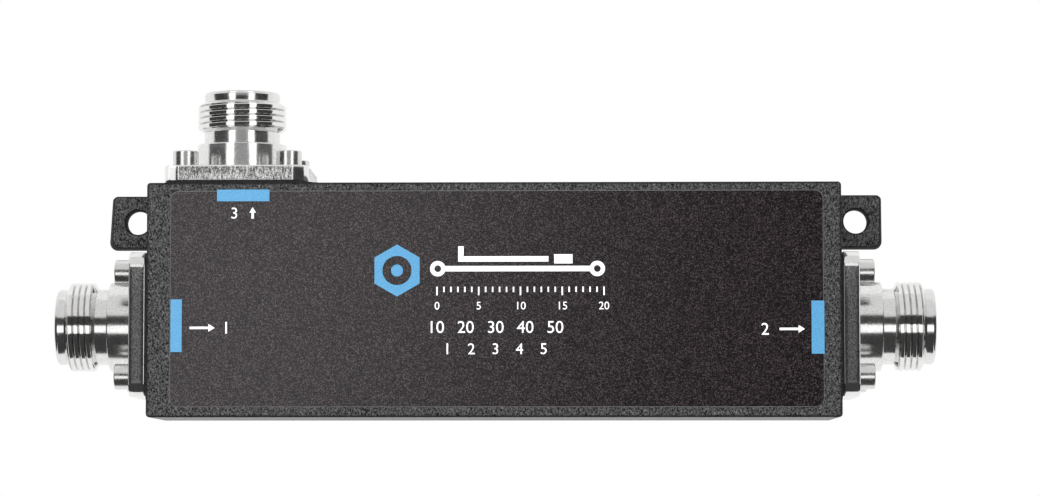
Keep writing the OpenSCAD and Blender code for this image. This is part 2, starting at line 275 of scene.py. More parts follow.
def label_edge_and_highlight():
    """Cut edge of the film, paler than its face: partly the cut film's own tone, partly a painted highlight along the
    edge.
    """
    m, n, p = material("label_edge_and_highlight")
    c = n.coords()
    grain = n.noise(c, 0.4, 2.0)
    n.put(p.inputs["Base Color"], n.mix(n.span(grain, 0.35, 0.65), (0.15, 0.145, 0.147, 1), (0.26, 0.253, 0.256, 1)))
    n.put(p.inputs["Roughness"], n.span(grain, 0.3, 0.7, 0.5, 0.38))
    n.put(p.inputs["Normal"], n.bump(grain, 0.2, 0.02))
    return m


def print_ink(name, low, high):
    m, n, p = material(name)
    c = n.coords()
    grain = n.noise(c, 0.3, 1.0, 0.5)
    n.put(p.inputs["Base Color"], n.mix(n.span(grain, 0.35, 0.65), low, high))
    n.put(p.inputs["Roughness"], n.span(grain, 0.3, 0.7, 0.5, 0.38))
    p.inputs["Specular IOR Level"].default_value = 0.2
    n.put(p.inputs["Normal"], n.bump(grain, 0.2, 0.02))
    return m


def turned_plating():
    """Bright plating on turned surfaces: fine tool lines that draw reflections out along the axis."""
    m, n, p = material("turned_plating", Metallic=1.0, Anisotropic=0.8, Anisotropic_Rotation=0.25)
    c = n.coords()
    lines = n.noise(n.mapping(c, scale=(0.02, 0.02, 1.0)), 0.10, 2.0)
    stain = n.noise(c, 2.2, 4.0, 0.6)
    fleck = n.noise(c, 0.26, 2.0)
    mottle = n.noise(n.mapping(c, scale=(1.0, 1.0, 0.7)), 0.34, 2.0, 0.6)
    tone = n.mix(n.span(stain, 0.3, 0.7), (0.80, 0.80, 0.79, 1), (0.87, 0.865, 0.86, 1))
    n.put(p.inputs["Base Color"], n.mix(n.span(mottle, 0.44, 0.68, 0.0, 0.3), tone, (0.50, 0.495, 0.49, 1)))
    n.put(p.inputs["Roughness"], n.math("ADD", n.span(stain, 0.35, 0.75, 0.19, 0.25), n.span(fleck, 0.6, 0.76, 0.0, 0.10)))
    height = n.math("ADD", n.math("MULTIPLY", lines, 0.4), n.math("MULTIPLY", fleck, 0.6))
    n.put(p.inputs["Normal"], n.bump(height, 0.6, 0.012))
    n.link(n.add("ShaderNodeTangent", direction_type="RADIAL", axis="Z").outputs[0], p.inputs["Tangent"])
    return m


def cut_plating(name, rough_lo, rough_hi, strength, groove=0.0):
    """Bright plating on cut threads, milled corners and eased edges, with painted shade in a thread's grooves as
    strong as groove.
    """
    m, n, p = material(name, Metallic=1.0)
    c = n.coords()
    stain = n.noise(c, 1.4, 3.0, 0.6)
    fleck = n.noise(c, 0.3, 2.0, 0.6)
    tone = n.mix(n.span(stain, 0.3, 0.7), (0.80, 0.80, 0.79, 1), (0.88, 0.875, 0.87, 1))
    if groove:
        # painted shade: the thread's roots are darkened in the base colour
        sep = n.add("ShaderNodeSeparateXYZ")
        n.link(c, sep.inputs[0])
        x, y, z = sep.outputs
        radius = n.math("SQRT", n.math("ADD", n.math("MULTIPLY", x, x), n.math("MULTIPLY", y, y)))
        painted_groove_shade = n.math("MULTIPLY", n.span(radius, 0.00756, 0.00778, groove, 0.0), n.span(z, 0.0103, 0.0107))
        painted_groove_shade = n.math("MULTIPLY", painted_groove_shade, n.span(z, 0.0147, 0.0150, 1.0, 0.0))
        painted_groove_shade = n.math("MULTIPLY", painted_groove_shade, n.span(stain, 0.38, 0.62, 0.25, 1.0))
        tone = n.mix(painted_groove_shade, tone, (0.30, 0.292, 0.285, 1))
    n.put(p.inputs["Base Color"], tone)
    n.put(p.inputs["Roughness"], n.span(fleck, 0.4, 0.75, rough_lo, rough_hi))
    n.put(p.inputs["Normal"], n.bump(n.math("ADD", n.math("MULTIPLY", stain, 0.4), n.math("MULTIPLY", fleck, 0.6)), strength, 0.02))
    return m


def sawn_plating(name, strength, rough_lo, rough_hi, tones, stretch, fade=0.0):
    """Plating over a milled rim: fine streaks and pits, darker towards its outer edge by fade."""
    m, n, p = material(name, Metallic=1.0)
    c = n.coords()
    streak = n.noise(n.mapping(c, scale=stretch), 0.17, 2.0, 0.6)
    pit = n.noise(c, 0.18, 2.0, 0.6)
    broad = n.noise(c, 3.0, 2.0)
    height = n.math("ADD", n.math("MULTIPLY", streak, 0.52), n.math("MULTIPLY", pit, 0.48))
    shade = n.span(height, 0.40, 0.60)
    if fade:
        sep = n.add("ShaderNodeSeparateXYZ")
        n.link(c, sep.inputs[0])
        outer = n.span(n.math("ADD", sep.outputs[2], n.span(broad, 0.3, 0.7, -0.0006, 0.0006)), 0.0009, 0.0030)
        shade = n.math("SUBTRACT", shade, n.math("MULTIPLY", outer, fade), clamp=True)
    n.put(p.inputs["Base Color"], n.mix(shade, tones[0], tones[1]))
    n.put(p.inputs["Roughness"], n.span(broad, 0.3, 0.7, rough_lo, rough_hi))
    n.put(p.inputs["Normal"], n.bump(height, strength, 0.05))
    return m


def faced_plating():
    """Plating over a lathe-faced flat: rings round the axis."""
    m, n, p = material("faced_plating", Metallic=1.0)
    c = n.coords()
    sep = n.add("ShaderNodeSeparateXYZ")
    n.link(c, sep.inputs[0])
    x, y = sep.outputs[0], sep.outputs[1]
    radius = n.math("SQRT", n.math("ADD", n.math("MULTIPLY", x, x), n.math("MULTIPLY", y, y)))
    ring = n.add("ShaderNodeTexNoise", noise_dimensions="1D")
    n.put(ring.inputs["W"], radius)
    ring.inputs["Scale"].default_value = 1000 / 0.18
    ring.inputs["Detail"].default_value = 3.0
    stain = n.noise(c, 1.8, 4.0, 0.6)
    n.put(p.inputs["Base Color"], n.mix(n.span(stain, 0.3, 0.7), (0.76, 0.755, 0.75, 1), (0.86, 0.855, 0.85, 1)))
    n.put(p.inputs["Roughness"], n.span(stain, 0.3, 0.7, 0.12, 0.24))
    n.put(p.inputs["Normal"], n.bump(ring.outputs["Fac"], 0.18, 0.02))
    return m


def screw_steel():
    m, n, p = material("screw_steel", Metallic=1.0)
    c = n.coords()
    stain = n.noise(c, 0.9, 4.0, 0.6, 0.4)
    scratch = n.noise(n.mapping(c, scale=(1.0, 0.1, 0.4), rotation=(0.4, 0.2, 0.9)), 0.1, 2.0)
    n.put(p.inputs["Base Color"], n.mix(n.span(stain, 0.3, 0.7), (0.70, 0.695, 0.69, 1), (0.82, 0.815, 0.81, 1)))
    n.put(p.inputs["Roughness"], n.span(stain, 0.3, 0.75, 0.2, 0.32))
    n.put(p.inputs["Normal"], n.bump(n.math("ADD", n.math("MULTIPLY", stain, 0.7), n.math("MULTIPLY", scratch, 0.3)), 0.1, 0.03))
    return m


def bored_plating():
    m, n, p = material("bored_plating", Metallic=1.0)
    c = n.coords()
    lines = n.noise(n.mapping(c, scale=(0.02, 0.02, 1.0)), 0.09, 2.0)
    stain = n.noise(c, 1.6, 3.0, 0.6)
    n.put(p.inputs["Base Color"], n.mix(n.span(stain, 0.3, 0.7), (0.74, 0.735, 0.73, 1), (0.84, 0.835, 0.83, 1)))
    n.put(p.inputs["Roughness"], n.span(stain, 0.3, 0.7, 0.1, 0.2))
    n.put(p.inputs["Normal"], n.bump(lines, 0.15, 0.01))
    return m


def metal(name, low, high, size_mm, rough_lo, rough_hi, stretch=(1, 1, 1), bump=0.15, depth=0.01):
    m, n, p = material(name, Metallic=1.0)
    c = n.coords()
    grain = n.noise(n.mapping(c, scale=stretch), size_mm, 3.0, 0.6)
    stain = n.noise(c, size_mm * 9, 3.0)
    tone = n.mix(n.span(stain, 0.3, 0.7), low, high)
    tone = n.mix(n.math("MULTIPLY", n.edge(0.52, 0.6), 0.5), tone, tuple(min(1.0, v * 1.25) for v in high[:3]) + (1,))
    n.put(p.inputs["Base Color"], tone)
    n.put(p.inputs["Roughness"], n.span(grain, 0.3, 0.7, rough_lo, rough_hi))
    n.put(p.inputs["Normal"], n.bump(grain, bump, depth))
    return m


def plastic(name, low, high, size_mm, rough_lo, rough_hi, bump=0.15, depth=0.02, subsurface=0.0):
    m, n, p = material(name)
    c = n.coords()
    grain = n.noise(c, size_mm, 3.0, 0.6)
    stain = n.noise(c, size_mm * 8, 3.0)
    n.put(p.inputs["Base Color"], n.mix(n.span(stain, 0.3, 0.7), low, high))
    n.put(p.inputs["Roughness"], n.span(grain, 0.3, 0.7, rough_lo, rough_hi))
    n.put(p.inputs["Normal"], n.bump(grain, bump, depth))
    if subsurface:
        p.inputs["Subsurface Weight"].default_value = subsurface
        p.inputs["Subsurface Scale"].default_value = 0.001
    return m


MAT = {
    "powder": powder_coat(),
    "label": label_film(),
    "label_edge_and_highlight": label_edge_and_highlight(),
    "blue": print_ink("print_blue", rgb(105, 189, 247), rgb(122, 204, 255)),
    "white": print_ink("print_white", (0.95, 0.95, 0.95, 1), (1.0, 1.0, 1.0, 1)),
    "turned": turned_plating(),
    "thread": cut_plating("cut_plating", 0.06, 0.16, 0.35, groove=0.45),
    "corner": cut_plating("milled_plating", 0.10, 0.2, 0.1),
    "rim_tap": sawn_plating("sawn_plating_coarse", 0.8, 0.12, 0.2, ((0.10, 0.099, 0.098, 1), (1.0, 0.995, 0.99, 1)), (1, 1, 0.2), 0.33),
    "rim": sawn_plating("sawn_plating_fine", 0.28, 0.08, 0.13, ((0.40, 0.397, 0.395, 1), (0.97, 0.965, 0.96, 1)), (0.5, 0.5, 1)),
    "faced": faced_plating(),
    "bored": bored_plating(),
    "screw": screw_steel(),
    "cover": metal("rolled_aluminium", (0.62, 0.63, 0.65, 1), (0.74, 0.75, 0.77, 1), 0.12, 0.3, 0.42, stretch=(0.04, 1, 1)),
    "cover_screw": metal("steel_screw", (0.55, 0.55, 0.56, 1), (0.68, 0.68, 0.69, 1), 0.2, 0.22, 0.36),
    "rubber": plastic("black_rubber", (0.012, 0.012, 0.012, 1), (0.028, 0.027, 0.027, 1), 0.15, 0.55, 0.75, bump=0.3),
    "ptfe": plastic("white_ptfe", (0.80, 0.79, 0.77, 1), (0.88, 0.875, 0.86, 1), 0.25, 0.38, 0.5, subsurface=0.25),
    "gold": metal("gold_plating", (0.80, 0.55, 0.20, 1), (0.90, 0.66, 0.30, 1), 0.1, 0.14, 0.26),
    "silver": metal("silver_plating", (0.78, 0.77, 0.75, 1), (0.88, 0.875, 0.86, 1), 0.1, 0.16, 0.28, stretch=(1, 0.05, 0.05)),
    "brass": metal("bare_brass", (0.66, 0.48, 0.20, 1), (0.78, 0.60, 0.30, 1), 0.1, 0.2, 0.34),
    "resistor": plastic("resistor_lacquer", (0.30, 0.17, 0.09, 1), (0.42, 0.27, 0.16, 1), 0.2, 0.2, 0.32),
}


# ------------------------------------------------------------- mesh helpers
def finish_mesh(name, bm, mats, place=None, sharp_deg=32, merge=1e-4):
    """bmesh in mm to an object in metres that rides on the box."""
    if merge:
        bmesh.ops.remove_doubles(bm, verts=bm.verts, dist=merge)
    bmesh.ops.dissolve_degenerate(bm, edges=bm.edges, dist=1e-5)
    bmesh.ops.recalc_face_normals(bm, faces=bm.faces)
    me = bpy.data.meshes.new(name)
    bm.to_mesh(me)
    bm.free()
    me.transform(Matrix.Scale(MM, 4))
    for m in mats:
        me.materials.append(m)
    me.polygons.foreach_set("use_smooth", [True] * len(me.polygons))
    me.set_sharp_from_angle(angle=math.radians(sharp_deg))
    o = bpy.data.objects.new(name, me)
    scene.collection.objects.link(o)
    if place is not None:
        m = place.copy()
        m.translation = m.translation * MM
        o.matrix_world = m
    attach(o, "root")
    return o


def ring(bm, points):
    return [bm.verts.new(p) for p in points]


def circle_points(r, z, n, phase=0.0, cx=0.0, cy=0.0):
    return [(cx + r * math.cos(phase + TAU * i / n), cy + r * math.sin(phase + TAU * i / n), z) for i in range(n)]


def rounded_square(w, h, r, z, per=10):
    pts = []
    for sx, sy, a0 in ((1, 1, 0), (-1, 1, 90), (-1, -1, 180), (1, -1, 270)):
        for i in range(per + 1):
            a = math.radians(a0 + 90 * i / per)
            pts.append((sx * (w / 2 - r) + r * math.cos(a), sy * (h / 2 - r) + r * math.sin(a), z))
    return pts


def bridge(bm, a, b, mat=0):
    n = len(a)
    made = []
    for i in range(n):
        f = bm.faces.new((a[i], a[(i + 1) % n], b[(i + 1) % n], b[i]))
        f.material_index = mat
        made.append(f)
    return made


def flat_face(bm, loops, mat=0):
    """Fills the region between the first loop and the others, which are holes."""
    tris = tessellate_polygon([[v.co for v in loop] for loop in loops])
    flat = [v for loop in loops for v in loop]
    for t in tris:
        vs = [flat[i] for i in t]
        if len(set(vs)) == 3:
            f = bm.faces.new(vs)
            f.material_index = mat


def revolve(bm, profile, n=128, mat=0, close_ends=False):
    """Rings for (r, z) points; returns the rings."""
    rings = [ring(bm, circle_points(r, z, n)) for r, z in profile]
    for a, b in zip(rings, rings[1:]):
        bridge(bm, a, b, mat)
    if close_ends:
        for loop in (rings[0], rings[-1]):
            f = bm.faces.new(loop)
            f.material_index = mat
    return rings


# --------------------------------------------------------------- connectors
THREAD_LEAD, THREAD_RELIEF = 0.8, 0.7
THREAD_DEPTH, CREST, ROOT, LEAN = 0.44, 0.66, 0.02, 0.12
TIP_FLANK = 0.24
STEEP_FLANK = PITCH - CREST - ROOT - TIP_FLANK


def thread_height(s):
    """Height over the root at distance s along the axis: broad crests that fall slightly towards
    the flange, with a wide eased flank towards the tip and a steep one behind it."""
    x = s % PITCH                                 # from the flange side of a crest
    down = 1 + (CREST - x) / TIP_FLANK
    if x < CREST + TIP_FLANK:
        along, u = min(CREST, x), min(down, 1 + x / STEEP_FLANK)
    else:
        along, u = 0.0, max(down, 1 - (PITCH - x) / STEEP_FLANK)
    top = THREAD_DEPTH - 0.01 + LEAN * (along - CREST)
    # a polynomial soft clamp eases both ends of the flank, most at the crest's tip side
    k = 0.14
    ease = 0.34 if CREST / 2 < x < CREST + TIP_FLANK else 0.14
    if u <= -k:
        v = 0.0
    elif u >= 1 + ease:
        v = 1.0
    elif u < k:
        v = (u + k) ** 2 / (4 * k)
    elif u > 1 - ease:
        v = 1 - (1 + ease - u) ** 2 / (4 * ease)
    else:
        v = u
    return top * v


def envelope(z):
    """Blank the thread was cut on: cone, cylinder, cone."""
    rise = (THREAD_R - NECK_R) / THREAD_RELIEF
    fall = (THREAD_R - NECK_R) / THREAD_LEAD
    return min(THREAD_R, NECK_R + (z - Z_NECK) * rise, NECK_R + (Z_THREAD - z) * fall)


def soft_min(a, b, k):
    h = max(0.0, min(1.0, 0.5 + 0.5 * (b - a) / k))
    return b * (1 - h) + a * h - k * h * (1 - h)


def arc(cr, cz, r, a0, a1, n):
    """Profile points (radius, z) on an arc; angles in degrees from +radius towards +z."""
    return [(cr + r * math.cos(math.radians(a0 + (a1 - a0) * i / n)),
             cz + r * math.sin(math.radians(a0 + (a1 - a0) * i / n))) for i in range(n + 1)]


def barrel(port, phase):
    """Turned body with its thread, nose and stepped bore, in one closed skin."""
    bm = bmesh.new()
    n = 144
    turned, thread, bore = 0, 1, 2
    # from the flange's face to the undercut
    rings = revolve(bm, [(5.0, Z_FACE), (BODY_R, Z_FACE)] + arc(BODY_R - 0.3, Z_BODY - 0.3, 0.3, 0, 90, 5)
                    + [(NECK_R + 0.1, Z_BODY), (NECK_R, Z_BODY + 0.1), (NECK_R, Z_NECK)], n, turned)
    foot, last = rings[0], rings[-1]
    rows = 176
    for j in range(1, rows + 1):
        z = Z_NECK + (Z_THREAD - Z_NECK) * j / rows
        loop = []
        for i in range(n):
            a = TAU * i / n
            cut = THREAD_R - THREAD_DEPTH + thread_height(z - PITCH * (i / n + phase))
            r = max(NECK_R, soft_min(envelope(z), cut, 0.02)) if j < rows else NECK_R - 0.14
            loop.append((r * math.cos(a), r * math.sin(a), z))
        row = ring(bm, loop)
        bridge(bm, last, row, thread)
        last = row
    # nose, mouth, stop shoulder, line bore
    tail = ([(NECK_R - 0.14, Z_THREAD + 0.02), (NECK_R - 0.10, Z_THREAD + 0.25), (NECK_R - 0.055, Z_THREAD + 0.55),
             (NECK_R - 0.02, Z_THREAD + 0.85), (NECK_R, Z_THREAD + 1.15)] + arc(NECK_R - 0.51, Z_TIP - 0.42, 0.42, 0, 90, 8)
            + [(4.55, Z_TIP)] + arc(4.5, Z_TIP - 0.05, 0.05, 90, 180, 2) + [(4.05, Z_TIP - 0.45), (4.05, Z_STOP), (3.5, Z_STOP), (3.5, -1.7)]
            + [(4.8, -1.7), (5.0, -1.5)])
    rings = revolve(bm, tail, n, bore)
    bridge(bm, last, rings[0], turned)
    bridge(bm, rings[-1], foot, bore)
    o = finish_mesh(port + "_jack_barrel", bm, [MAT["turned"], MAT["thread"], MAT["bored"]], PORTS[port], 30)
    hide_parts(port + "_connector")
    return o


def flange(port, rim):
    """Square flange with eased edges, four screw holes and a groove in its seat face."""
    bm = bmesh.new()
    n = 144
    rim_i, corner, faced, bore = 0, 1, 2, 3
    holes = [(sx * SCREW_PITCH / 2, sy * SCREW_PITCH / 2) for sx in (-1, 1) for sy in (-1, 1)]
    ch = 0.28
    outer = []
    for w, z in ((FLANGE_W - 2 * ch, Z_SEAT), (FLANGE_W - 0.6 * ch, Z_SEAT + 0.3 * ch), (FLANGE_W, Z_SEAT + ch),
                 (FLANGE_W, Z_FACE - ch), (FLANGE_W - 0.6 * ch, Z_FACE - 0.3 * ch), (FLANGE_W - 2 * ch, Z_FACE)):
        outer.append(ring(bm, rounded_square(w, w, FLANGE_R - (FLANGE_W - w) / 2, z, 12)))
    for k, (a, b) in enumerate(zip(outer, outer[1:])):
        made = bridge(bm, a, b, corner)
        if k == 2:
            # only the four flats of the rim are sawn, not its corners
            for i in range(12, len(made), 13):
                made[i].material_index = rim_i
    low, high = [], []
    for hx, hy in holes:
        h = [ring(bm, circle_points(r, z, 32, 0, hx, hy)) for r, z in
             ((1.5, Z_SEAT), (1.4, Z_SEAT + 0.1), (1.4, Z_FACE - 0.1), (1.5, Z_FACE))]
        for a, b in zip(h, h[1:]):
            bridge(bm, a, b, bore)
        low.append(h[0])
        high.append(h[-1])
    groove = [ring(bm, circle_points(r, z, n)) for r, z in ((6.0, Z_SEAT), (6.0, Z_SEAT + 0.85), (7.3, Z_SEAT + 0.85), (7.3, Z_SEAT))]
    for a, b in zip(groove, groove[1:]):
        bridge(bm, a, b, bore)
    inner = [ring(bm, circle_points(5.0, z, n)) for z in (Z_SEAT, Z_FACE)]
    bridge(bm, inner[0], inner[1], bore)
    bridge(bm, inner[0], groove[0], faced)
    flat_face(bm, [outer[0], groove[-1]] + low, faced)
    flat_face(bm, [outer[-1], inner[1]] + high, faced)
    o = finish_mesh(port + "_jack_flange", bm, [rim, MAT["corner"], MAT["faced"], MAT["bored"]], PORTS[port], 30)
    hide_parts(port + "_connector")
    return o


def cap_screw_mesh(bm, place, turn):
    """Socket-head cap screw with an eased head and a hexagon drive."""
    n = 64
    R, H = 2.25, 2.7
    before = set(bm.verts)
    shank = [(0.95, Z_FACE - 8.0), (1.2, Z_FACE - 7.6), (1.2, Z_FACE), (R - 0.08, Z_FACE), (R, Z_FACE + 0.08)]
    head = arc(R - 0.24, Z_FACE + H - 0.24, 0.24, 0, 90, 7)
    rings = [ring(bm, circle_points(r, z, n)) for r, z in shank + head]
    for a, b in zip(rings, rings[1:]):
        bridge(bm, a, b)
    bm.faces.new(rings[0])
    hexes = []
    for r, z in ((1.255, Z_FACE + H), (1.155, Z_FACE + H - 0.1), (1.155, Z_FACE + H - 1.2)):
        hexes.append(ring(bm, circle_points(r, z, 6, turn)))
    flat_face(bm, [rings[-1], hexes[0]])
    bridge(bm, hexes[0], hexes[1])
    bridge(bm, hexes[1], hexes[2])
    tip = bm.verts.new((0, 0, Z_FACE + H - 1.65))
    pit = ring(bm, circle_points(0.9, Z_FACE + H - 1.2, 24))
    flat_face(bm, [hexes[2], pit])
    for i in range(24):
        bm.faces.new((pit[i], pit[(i + 1) % 24], tip))
    new = [v for v in bm.verts if v not in before]
    bmesh.ops.transform(bm, matrix=place, verts=new)


def flange_screws():
    made = []
    k = 0
    for port, place in PORTS.items():
        bm = bmesh.new()
        for sx in (-1, 1):
            for sy in (-1, 1):
                k += 1
                cap_screw_mesh(bm, Matrix.Translation((sx * SCREW_PITCH / 2, sy * SCREW_PITCH / 2, 0)), 0.37 * k * k)
        o = finish_mesh(port + "_flange_screws", bm, [MAT["screw"]], place, 30, merge=0)
        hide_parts("flange_screws")
        made.append(o)
    return made


# -------------------------------------------------------------------- label
TOP = DEPTH + 0.15
INK = 0.012


def label():
    bm = bmesh.new()
    rings = []
    for inset, z in ((0, DEPTH), (0, TOP - INK - 0.07), (0.12, TOP - INK)):
        pts = rounded_square(LABEL_W - 2 * inset, LABEL_H - 2 * inset, LABEL_R - inset, z, 14)
        rings.append(ring(bm, [(x + LABEL_X, y + LABEL_Y, zz) for x, y, zz in pts]))
    for a, b in zip(rings, rings[1:]):
        bridge(bm, a, b, 1)
    bm.faces.new(rings[0])
    bm.faces.new(rings[-1])
    o = finish_mesh("label_film", bm, [MAT["label"], MAT["label_edge_and_highlight"]], None, 25)
    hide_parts("label")
    return o


def prism(bm, outline, mat=0, holes=()):
    """Thin printed shape on the label."""
    z0, z1 = TOP - INK - 0.004, TOP
    lows, highs = [], []
    for loop in [outline] + list(holes):
        lo = ring(bm, [(x, y, z0) for x, y in loop])
        hi = ring(bm, [(x, y, z1) for x, y in loop])
        bridge(bm, lo, hi, mat)
        lows.append(lo)
        highs.append(hi)
    flat_face(bm, lows, mat)
    flat_face(bm, highs, mat)


def px(x, y):
    """Place on the label's face that the camera sees at a pixel of the 1040 x 496 frame."""
    cam = scene.camera
    f, cx, cy = cam.data.lens / 36.0 * 1040.0, 520.0 - cam.data.shift_x * 1040.0, 248.0 + cam.data.shift_y * 1040.0
    ray = cam.matrix_world.to_3x3() @ Vector(((x - cx) / f, -(y - cy) / f, -1.0))
    eye = cam.matrix_world.translation
    t = (TOP * MM - eye.z) / ray.z
    p = (eye + ray * t) / MM
    return p.x, p.y


def rect(x0, y0, x1, y1):
    return [(x0, y0), (x1, y0), (x1, y1), (x0, y1)]


def disc(cx, cy, r, n=48, phase=0.0):
    return [(cx + r * math.cos(phase + TAU * i / n), cy + r * math.sin(phase + TAU * i / n)) for i in range(n)]


def arrow(x, y, length, width, head, angle):
    """Plain arrow with its tail at x, y."""
    c, s = math.cos(angle), math.sin(angle)
    h = width / 2
    pts = [(0, -h), (length - head, -h), (length - head, -head * 0.62), (length, 0), (length - head, head * 0.62), (length - head, h), (0, h)]
    return [(x + c * px_ - s * py_, y + s * px_ + c * py_) for px_, py_ in pts]


def numeral(bm, text, x, y, height, mat=0, centred=True):
    """Plain digits, as flat shapes."""
    cu = bpy.data.curves.new("numeral", "FONT")
    cu.body = text
    cu.size = 1.0
    cu.resolution_u = 6
    cu.align_x = "CENTER" if centred else "LEFT"
    tmp = bpy.data.objects.new("numeral", cu)
    scene.collection.objects.link(tmp)
    bpy.context.view_layer.update()
    me = bpy.data.meshes.new_from_object(tmp.evaluated_get(bpy.context.evaluated_depsgraph_get()))
    ys = [v.co.y for v in me.vertices]
    k = height / (max(ys) - min(ys))
    y_low = min(ys)
    part = bmesh.new()
    part.from_mesh(me)
    bmesh.ops.remove_doubles(part, verts=part.verts, dist=1e-5)
    for v in part.verts:
        v.co = Vector((x + v.co.x * k, y + (v.co.y - y_low) * k, TOP - INK - 0.004))
    up = bmesh.ops.extrude_face_region(part, geom=part.faces[:])
    bmesh.ops.translate(part, verts=[g for g in up["geom"] if isinstance(g, bmesh.types.BMVert)], vec=(0, 0, INK + 0.004))
    part.normal_update()
    for f in part.faces:
        f.material_index = mat
    keep = bpy.data.meshes.new("numeral_part")
    part.to_mesh(keep)
    part.free()
    bm.from_mesh(keep)
    for d in (keep, me):
        bpy.data.meshes.remove(d)
    bpy.data.objects.remove(tmp)
    bpy.data.curves.remove(cu)


def printing():
    # port marks: three plain bars at the label's edge
    bm = bmesh.new()
    for x0, y0, x1, y1 in ((217.0, 201.3, 269.4, 189.5), (170.3, 352.0, 181.8, 299.4), (811.8, 353.6, 824.3, 300.5)):
        a, b = px(x0, y0), px(x1, y1)
        prism(bm, rect(a[0], a[1], b[0], b[1]))
    # hexagon nut seen from the front
    cx, cy = px(397.0, 270.5)
    prism(bm, disc(cx, cy, 4.55, 6, math.radians(30)), 0, [disc(cx, cy, 2.55, 48)])
    prism(bm, disc(cx, cy, 1.05, 36))
    blue = finish_mesh("label_print_blue", bm, [MAT["blue"]], None, 40, merge=0)

    bm = bmesh.new()
    # numbers of the three ports, with plain arrows
    x, y = px(243.5, 218.6)
    numeral(bm, "3", x - 1.6, y, 1.95)
    prism(bm, arrow(x + 1.6, y, 2.0, 0.42, 0.95, math.radians(90)))
    x, y = px(189.5, 333.6)
    prism(bm, arrow(x, y + 1.0, 4.4, 0.42, 1.1, 0.0))
    numeral(bm, "1", x + 6.4, y, 2.05)
    x, y = px(805.0, 334.6)
    prism(bm, arrow(x - 4.4, y + 1.0, 4.4, 0.42, 1.1, 0.0))
    numeral(bm, "2", x - 6.9, y, 2.05)
    # schematic: main line, coupled line and terminals
    x0, y0 = px(430.0, 277.0)
    x1, y1 = px(605.0, 246.0)
    w = 0.95
    prism(bm, disc(x0 + 1.35, y0 + 1.45, 1.35, 40), 0, [disc(x0 + 1.35, y0 + 1.45, 0.6, 32)])
    prism(bm, rect(x0 + 2.6, y0 + 1.45 - w / 2, x1 - 2.6, y0 + 1.45 + w / 2))
    prism(bm, disc(x1 - 1.35, y0 + 1.45, 1.35, 40), 0, [disc(x1 - 1.35, y0 + 1.45, 0.6, 32)])
    xm = (x0 + x1) / 2
    prism(bm, [(xm - 9.4, y1), (xm - 9.4 - w, y1), (xm - 9.4 - w, y1 - 1.75 - w), (xm + 5.4, y1 - 1.75 - w), (xm + 5.4, y1 - 1.75), (xm - 9.4, y1 - 1.75)])
    prism(bm, rect(xm + 6.4, y1 - 1.75 - w * 1.35, xm + 9.6, y1 - 1.75 + w * 0.35))
    # row of ticks
    xa, ya = px(437.0, 296.0)
    xb, yb = px(604.0, 286.5)
    for i in range(25):
        x = xa + (xb - xa) * i / 24
        tall = 1.5 if i % 6 == 0 else 0.95
        prism(bm, rect(x - 0.13, yb - tall, x + 0.13, yb))
    # numbers of the scale
    xa, ya = px(437.0, 318.0)
    for i in range(5):
        numeral(bm, str(i * 5), xa + (xb - xa) * i / 4, px(500, 309.5)[1], 1.35)
    # two lines of plain numbers
    for k, (row, size, gap) in enumerate(((333.0, 2.1, 4.3), (354.2, 1.9, 4.3))):
        y = px(500.0, row)[1]
        xc = px(495.5, row)[0]
        words = ("10", "20", "30", "40", "50") if k == 0 else ("1", "2", "3", "4", "5")
        for i, word in enumerate(words):
            numeral(bm, word, xc + (i - 2) * (5.2 if k == 0 else 4.2), y, size)
    white = finish_mesh("label_print_white", bm, [MAT["white"]], None, 40, merge=0)


# ----------------------------------------------------------- build the part
for port, phase in (("input", 0.15), ("output", 0.55), ("tap", 0.35)):
    barrel(port, phase)
    flange(port, MAT["rim_tap"] if port == "tap" else MAT["rim"])
flange_screws()
label()
printing()

CARRIED = {
    "housing": "powder", "rear_cover": "cover", "rear_cover_seal": "rubber", "rear_cover_screws": "cover_screw",
    "main_line": "silver", "line_post_a": "ptfe", "line_post_b": "ptfe", "tap_resistor": "resistor", "tap_sleeve": "brass",
}
for port in PORTS:
    CARRIED.update({port + "_insulator": "ptfe", port + "_contact": "gold", port + "_o_ring": "rubber"})
for node, mat in CARRIED.items():
    o = frame["nodes"][node]
    if not o.material_slots:
        o.data.materials.append(MAT[mat])
    for slot in o.material_slots:
        slot.material = MAT[mat]


# ------------------------------------------------------------ floor, lights
def make_floor():
    bm = bmesh.new()
    bmesh.ops.create_grid(bm, x_segments=2, y_segments=2, size=1.6)
    me = bpy.data.meshes.new("floor")
    bm.to_mesh(me)
    bm.free()
    m = bpy.data.materials.new("floor")
    m.use_nodes = True
    n = Nodes(m.node_tree)
    out = n.add("ShaderNodeOutputMaterial")
    # evenly lit white paper; its reflection in the plating is a little weaker
    pale, seen = n.add("ShaderNodeEmission"), n.add("ShaderNodeEmission")
    pale.inputs["Strength"].default_value = 0.97
    seen.inputs["Strength"].default_value = 1.0
    mix = n.add("ShaderNodeMixShader")
    n.link(n.add("ShaderNodeLightPath").outputs["Is Camera Ray"], mix.inputs[0])
    n.link(pale.outputs[0], mix.inputs[1])
    n.link(seen.outputs[0], mix.inputs[2])
    # seen from below the floor is left open
    sides = n.add("ShaderNodeMixShader")
    n.link(n.add("ShaderNodeNewGeometry").outputs["Backfacing"], sides.inputs[0])
    n.link(mix.outputs[0], sides.inputs[1])
    n.link(n.add("ShaderNodeBsdfTransparent").outputs[0], sides.inputs[2])
    n.link(sides.outputs[0], out.inputs[0])
    me.materials.append(m)
    o = bpy.data.objects.new("floor", me)
    o.location = (0, 0, -0.0002)
    o.visible_diffuse = False
    scene.collection.objects.link(o)
    return o


